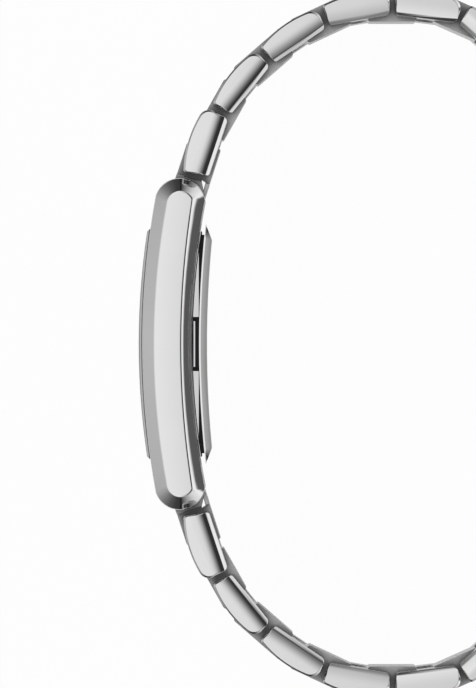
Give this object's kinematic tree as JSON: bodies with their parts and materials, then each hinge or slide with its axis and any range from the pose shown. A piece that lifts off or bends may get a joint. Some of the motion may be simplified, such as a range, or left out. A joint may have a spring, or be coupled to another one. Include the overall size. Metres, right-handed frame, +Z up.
{
  "type": "rectangular wristwatch",
  "caption": "Curved rectangular steel wristwatch with side rails, link bracelet and folding clasp, fastened as a loop and lying on its crown side.",
  "frame": {"origin": "middle of the bounding box's bottom face, on the surface that the watch lies on", "axes": "+X from the dial to the wrist, +Y from 12 o'clock to 6 o'clock, +Z up from the crown side to the 9 o'clock side"},
  "size_m": [0.0432, 0.0742, 0.0194],
  "materials": {
    "polished_steel": "mirror polished",
    "link_steel": "polished",
    "back_steel": "polished",
    "plain_steel": "brushed",
    "crystal": "polished",
    "gasket": "matt",
    "dial": "silvered",
    "marker": "dark",
    "hand": "blued",
    "brass": "plain",
    "cell": "plain",
    "copper": "wound",
    "board": "matt",
    "plastic": "matt"
  },
  "bodies": {
    "head": {"case_middle": "polished_steel", "crystal": "crystal", "crystal_gasket": "gasket", "dial": "dial", "hour_markers": "marker", "main_plate": "brass", "train_bridge": "brass", "battery": "cell", "coil": "copper", "circuit_board": "board", "movement_ring": "plastic", "case_back": "back_steel", "back_gasket": "gasket", "lug_spring_bars": "plain_steel"},
    "minute_works": {"centre_wheel": "brass", "minute_hand": "hand"},
    "hour_works": {"hour_wheel": "brass", "hour_hand": "hand"},
    "minute_wheel": {"minute_wheel": "brass"},
    "rotor": {"rotor": "brass"},
    "setting_lever": {"setting_lever": "plain_steel"},
    "crown": {"crown": "polished_steel", "winding_stem": "plain_steel"},
    "bottom_blade": {"clasp_bottom_blade": "plain_steel"},
    "middle_blade": {"clasp_middle_blade": "plain_steel", "clasp_hinge_pins": "plain_steel"},
    "cover": {"clasp_cover": "polished_steel"},
    "button_left": {"clasp_button_left": "polished_steel"},
    "button_right": {"clasp_button_right": "polished_steel"},
    "end_link_six": {"end_link_six": "link_steel"},
    "outer_links_six_1": {"outer_links_six_1": "polished_steel"},
    "centre_link_six_1": {"centre_link_six_1": "link_steel"},
    "outer_links_six_2": {"outer_links_six_2": "polished_steel"},
    "centre_link_six_2": {"centre_link_six_2": "link_steel"},
    "outer_links_six_3": {"outer_links_six_3": "polished_steel"},
    "centre_link_six_3": {"centre_link_six_3": "link_steel"},
    "outer_links_six_4": {"outer_links_six_4": "polished_steel"},
    "centre_link_six_4": {"centre_link_six_4": "link_steel"},
    "outer_links_six_5": {"outer_links_six_5": "polished_steel"},
    "centre_link_six_5": {"centre_link_six_5": "link_steel"},
    "outer_links_six_6": {"outer_links_six_6": "polished_steel"},
    "centre_link_six_6": {"centre_link_six_6": "link_steel"},
    "outer_links_six_7": {"outer_links_six_7": "polished_steel"},
    "centre_link_six_7": {"centre_link_six_7": "link_steel"},
    "end_link_twelve": {"end_link_twelve": "link_steel"},
    "outer_links_twelve_1": {"outer_links_twelve_1": "polished_steel"},
    "centre_link_twelve_1": {"centre_link_twelve_1": "link_steel"},
    "outer_links_twelve_2": {"outer_links_twelve_2": "polished_steel"},
    "centre_link_twelve_2": {"centre_link_twelve_2": "link_steel"},
    "outer_links_twelve_3": {"outer_links_twelve_3": "polished_steel"},
    "centre_link_twelve_3": {"centre_link_twelve_3": "link_steel"},
    "outer_links_twelve_4": {"outer_links_twelve_4": "polished_steel"},
    "centre_link_twelve_4": {"centre_link_twelve_4": "link_steel"},
    "outer_links_twelve_5": {"outer_links_twelve_5": "polished_steel"},
    "centre_link_twelve_5": {"centre_link_twelve_5": "link_steel"},
    "outer_links_twelve_6": {"outer_links_twelve_6": "polished_steel"},
    "centre_link_twelve_6": {"centre_link_twelve_6": "link_steel"},
    "outer_links_twelve_7": {"outer_links_twelve_7": "polished_steel"},
    "centre_link_twelve_7": {"centre_link_twelve_7": "link_steel", "clasp_spring_bar": "plain_steel"}
  },
  "joints": [
    {"name": "crown_pull", "type": "slide", "parent": "head", "child": "setting_lever", "axis": [0, 0, -1], "range_m": [0, 0.0009]},
    {"name": "crown_turn", "type": "hinge", "parent": "setting_lever", "child": "crown", "pos_m": [-0.01798, 0, 0.00008], "axis": [0, 0, -1], "continuous": true},
    {"name": "clasp_fold", "type": "hinge", "parent": "bottom_blade", "child": "middle_blade", "pos_m": [0.01895, -0.01771, 0.0097], "axis": [0, 0, -1], "range_deg": [0, 80]},
    {"name": "clasp_cover_hinge", "type": "hinge", "parent": "middle_blade", "child": "cover", "pos_m": [0.01975, 0.01771, 0.0097], "axis": [0, 0, 1], "range_deg": [0, 160]},
    {"name": "button_left_press", "type": "slide", "parent": "cover", "child": "button_left", "axis": [0, 0, -1], "range_m": [0, 0.0005], "stiffness_N_per_m": 200, "springref_m": -0.002},
    {"name": "button_right_press", "type": "slide", "parent": "cover", "child": "button_right", "axis": [0, 0, 1], "range_m": [0, 0.0005], "stiffness_N_per_m": 200, "springref_m": -0.002},
    {"name": "minute_hand_turn", "type": "hinge", "parent": "head", "child": "minute_works", "pos_m": [-0.01918, 0, 0.0097], "axis": [1, 0, 0], "continuous": true},
    {"name": "hour_hand_turn", "type": "hinge", "parent": "head", "child": "hour_works", "pos_m": [-0.01918, 0, 0.0097], "axis": [1, 0, 0], "continuous": true},
    {"name": "minute_wheel_turn", "type": "hinge", "parent": "head", "child": "minute_wheel", "pos_m": [-0.01878, 0, 0.0121], "axis": [1, 0, 0], "continuous": true},
    {"name": "rotor_turn", "type": "hinge", "parent": "head", "child": "rotor", "pos_m": [-0.01788, -0.0024, 0.0097], "axis": [1, 0, 0], "continuous": true},
    {"name": "end_link_six_hinge", "type": "hinge", "parent": "head", "child": "end_link_six", "pos_m": [-0.01638, 0.01555, 0.0097], "axis": [0, 0, 1], "range_deg": [0, 8]},
    {"name": "outer_links_six_1_hinge", "type": "hinge", "parent": "end_link_six", "child": "outer_links_six_1", "pos_m": [-0.01531, 0.01883, 0.0097], "axis": [0, 0, 1], "range_deg": [0, 6]},
    {"name": "centre_link_six_1_hinge", "type": "hinge", "parent": "outer_links_six_1", "child": "centre_link_six_1", "pos_m": [-0.01379, 0.02338, 0.0097], "axis": [0, 0, 1], "range_deg": [0, 11]},
    {"name": "outer_links_six_2_hinge", "type": "hinge", "parent": "centre_link_six_1", "child": "outer_links_six_2", "pos_m": [-0.01246, 0.02573, 0.0097], "axis": [0, 0, 1], "range_deg": [0, 9.5]},
    {"name": "centre_link_six_2_hinge", "type": "hinge", "parent": "outer_links_six_2", "child": "centre_link_six_2", "pos_m": [-0.00944, 0.02946, 0.0097], "axis": [0, 0, 1], "range_deg": [0, 10]},
    {"name": "outer_links_six_3_hinge", "type": "hinge", "parent": "centre_link_six_2", "child": "outer_links_six_3", "pos_m": [-0.0074, 0.03123, 0.0097], "axis": [0, 0, 1], "range_deg": [0, 7]},
    {"name": "centre_link_six_3_hinge", "type": "hinge", "parent": "outer_links_six_3", "child": "centre_link_six_3", "pos_m": [-0.00342, 0.03392, 0.0097], "axis": [0, 0, 1], "range_deg": [0, 9]},
    {"name": "outer_links_six_4_hinge", "type": "hinge", "parent": "centre_link_six_3", "child": "outer_links_six_4", "pos_m": [-0.00098, 0.03506, 0.0097], "axis": [0, 0, 1], "range_deg": [0, 15]},
    {"name": "centre_link_six_4_hinge", "type": "hinge", "parent": "outer_links_six_4", "child": "centre_link_six_4", "pos_m": [0.00375, 0.03589, 0.0097], "axis": [0, 0, 1], "range_deg": [0, 10]},
    {"name": "outer_links_six_5_hinge", "type": "hinge", "parent": "centre_link_six_4", "child": "outer_links_six_5", "pos_m": [0.00645, 0.03589, 0.0097], "axis": [0, 0, 1], "range_deg": [0, 7]},
    {"name": "centre_link_six_5_hinge", "type": "hinge", "parent": "outer_links_six_5", "child": "centre_link_six_5", "pos_m": [0.01122, 0.03531, 0.0097], "axis": [0, 0, 1], "range_deg": [0, 15]},
    {"name": "outer_links_six_6_hinge", "type": "hinge", "parent": "centre_link_six_5", "child": "outer_links_six_6", "pos_m": [0.01368, 0.03421, 0.0097], "axis": [0, 0, 1], "range_deg": [0, 15]},
    {"name": "centre_link_six_6_hinge", "type": "hinge", "parent": "outer_links_six_6", "child": "centre_link_six_6", "pos_m": [0.01725, 0.031, 0.0097], "axis": [0, 0, 1], "range_deg": [0, 15]},
    {"name": "outer_links_six_7_hinge", "type": "hinge", "parent": "centre_link_six_6", "child": "outer_links_six_7", "pos_m": [0.0186, 0.02866, 0.0097], "axis": [0, 0, 1], "range_deg": [0, 15]},
    {"name": "centre_link_six_7_hinge", "type": "hinge", "parent": "outer_links_six_7", "child": "centre_link_six_7", "pos_m": [0.01976, 0.024, 0.0097], "axis": [0, 0, 1], "range_deg": [0, 10]},
    {"name": "end_link_twelve_hinge", "type": "hinge", "parent": "head", "child": "end_link_twelve", "pos_m": [-0.01638, -0.01555, 0.0097], "axis": [0, 0, -1], "range_deg": [0, 8]},
    {"name": "outer_links_twelve_1_hinge", "type": "hinge", "parent": "end_link_twelve", "child": "outer_links_twelve_1", "pos_m": [-0.01531, -0.01883, 0.0097], "axis": [0, 0, -1], "range_deg": [0, 6]},
    {"name": "centre_link_twelve_1_hinge", "type": "hinge", "parent": "outer_links_twelve_1", "child": "centre_link_twelve_1", "pos_m": [-0.01379, -0.02338, 0.0097], "axis": [0, 0, -1], "range_deg": [0, 11]},
    {"name": "outer_links_twelve_2_hinge", "type": "hinge", "parent": "centre_link_twelve_1", "child": "outer_links_twelve_2", "pos_m": [-0.01246, -0.02573, 0.0097], "axis": [0, 0, -1], "range_deg": [0, 9.5]},
    {"name": "centre_link_twelve_2_hinge", "type": "hinge", "parent": "outer_links_twelve_2", "child": "centre_link_twelve_2", "pos_m": [-0.00944, -0.02946, 0.0097], "axis": [0, 0, -1], "range_deg": [0, 10]},
    {"name": "outer_links_twelve_3_hinge", "type": "hinge", "parent": "centre_link_twelve_2", "child": "outer_links_twelve_3", "pos_m": [-0.0074, -0.03123, 0.0097], "axis": [0, 0, -1], "range_deg": [0, 7]},
    {"name": "centre_link_twelve_3_hinge", "type": "hinge", "parent": "outer_links_twelve_3", "child": "centre_link_twelve_3", "pos_m": [-0.00342, -0.03392, 0.0097], "axis": [0, 0, -1], "range_deg": [0, 9]},
    {"name": "outer_links_twelve_4_hinge", "type": "hinge", "parent": "centre_link_twelve_3", "child": "outer_links_twelve_4", "pos_m": [-0.00098, -0.03506, 0.0097], "axis": [0, 0, -1], "range_deg": [0, 15]},
    {"name": "centre_link_twelve_4_hinge", "type": "hinge", "parent": "outer_links_twelve_4", "child": "centre_link_twelve_4", "pos_m": [0.00375, -0.03589, 0.0097], "axis": [0, 0, -1], "range_deg": [0, 10]},
    {"name": "outer_links_twelve_5_hinge", "type": "hinge", "parent": "centre_link_twelve_4", "child": "outer_links_twelve_5", "pos_m": [0.00645, -0.03589, 0.0097], "axis": [0, 0, -1], "range_deg": [0, 7]},
    {"name": "centre_link_twelve_5_hinge", "type": "hinge", "parent": "outer_links_twelve_5", "child": "centre_link_twelve_5", "pos_m": [0.01122, -0.03531, 0.0097], "axis": [0, 0, -1], "range_deg": [0, 15]},
    {"name": "outer_links_twelve_6_hinge", "type": "hinge", "parent": "centre_link_twelve_5", "child": "outer_links_twelve_6", "pos_m": [0.01368, -0.03421, 0.0097], "axis": [0, 0, -1], "range_deg": [0, 15]},
    {"name": "centre_link_twelve_6_hinge", "type": "hinge", "parent": "outer_links_twelve_6", "child": "centre_link_twelve_6", "pos_m": [0.01725, -0.031, 0.0097], "axis": [0, 0, -1], "range_deg": [0, 15]},
    {"name": "outer_links_twelve_7_hinge", "type": "hinge", "parent": "centre_link_twelve_6", "child": "outer_links_twelve_7", "pos_m": [0.0186, -0.02866, 0.0097], "axis": [0, 0, -1], "range_deg": [0, 15]},
    {"name": "centre_link_twelve_7_hinge", "type": "hinge", "parent": "outer_links_twelve_7", "child": "centre_link_twelve_7", "pos_m": [0.01976, -0.024, 0.0097], "axis": [0, 0, -1], "range_deg": [0, 10]},
    {"name": "clasp_swing", "type": "hinge", "parent": "centre_link_six_7", "child": "bottom_blade", "pos_m": [0.01995, 0.02131, 0.0097], "axis": [0, 0, 1], "range_deg": [0, 6]}
  ],
  "couplings": [
    {"joint": "clasp_cover_hinge", "follows": "clasp_fold", "ratio": 2},
    {"joint": "hour_hand_turn", "follows": "minute_hand_turn", "ratio": 0.083333},
    {"joint": "minute_wheel_turn", "follows": "minute_hand_turn", "ratio": -0.33333},
    {"joint": "rotor_turn", "follows": "minute_hand_turn", "ratio": -5}
  ]
}
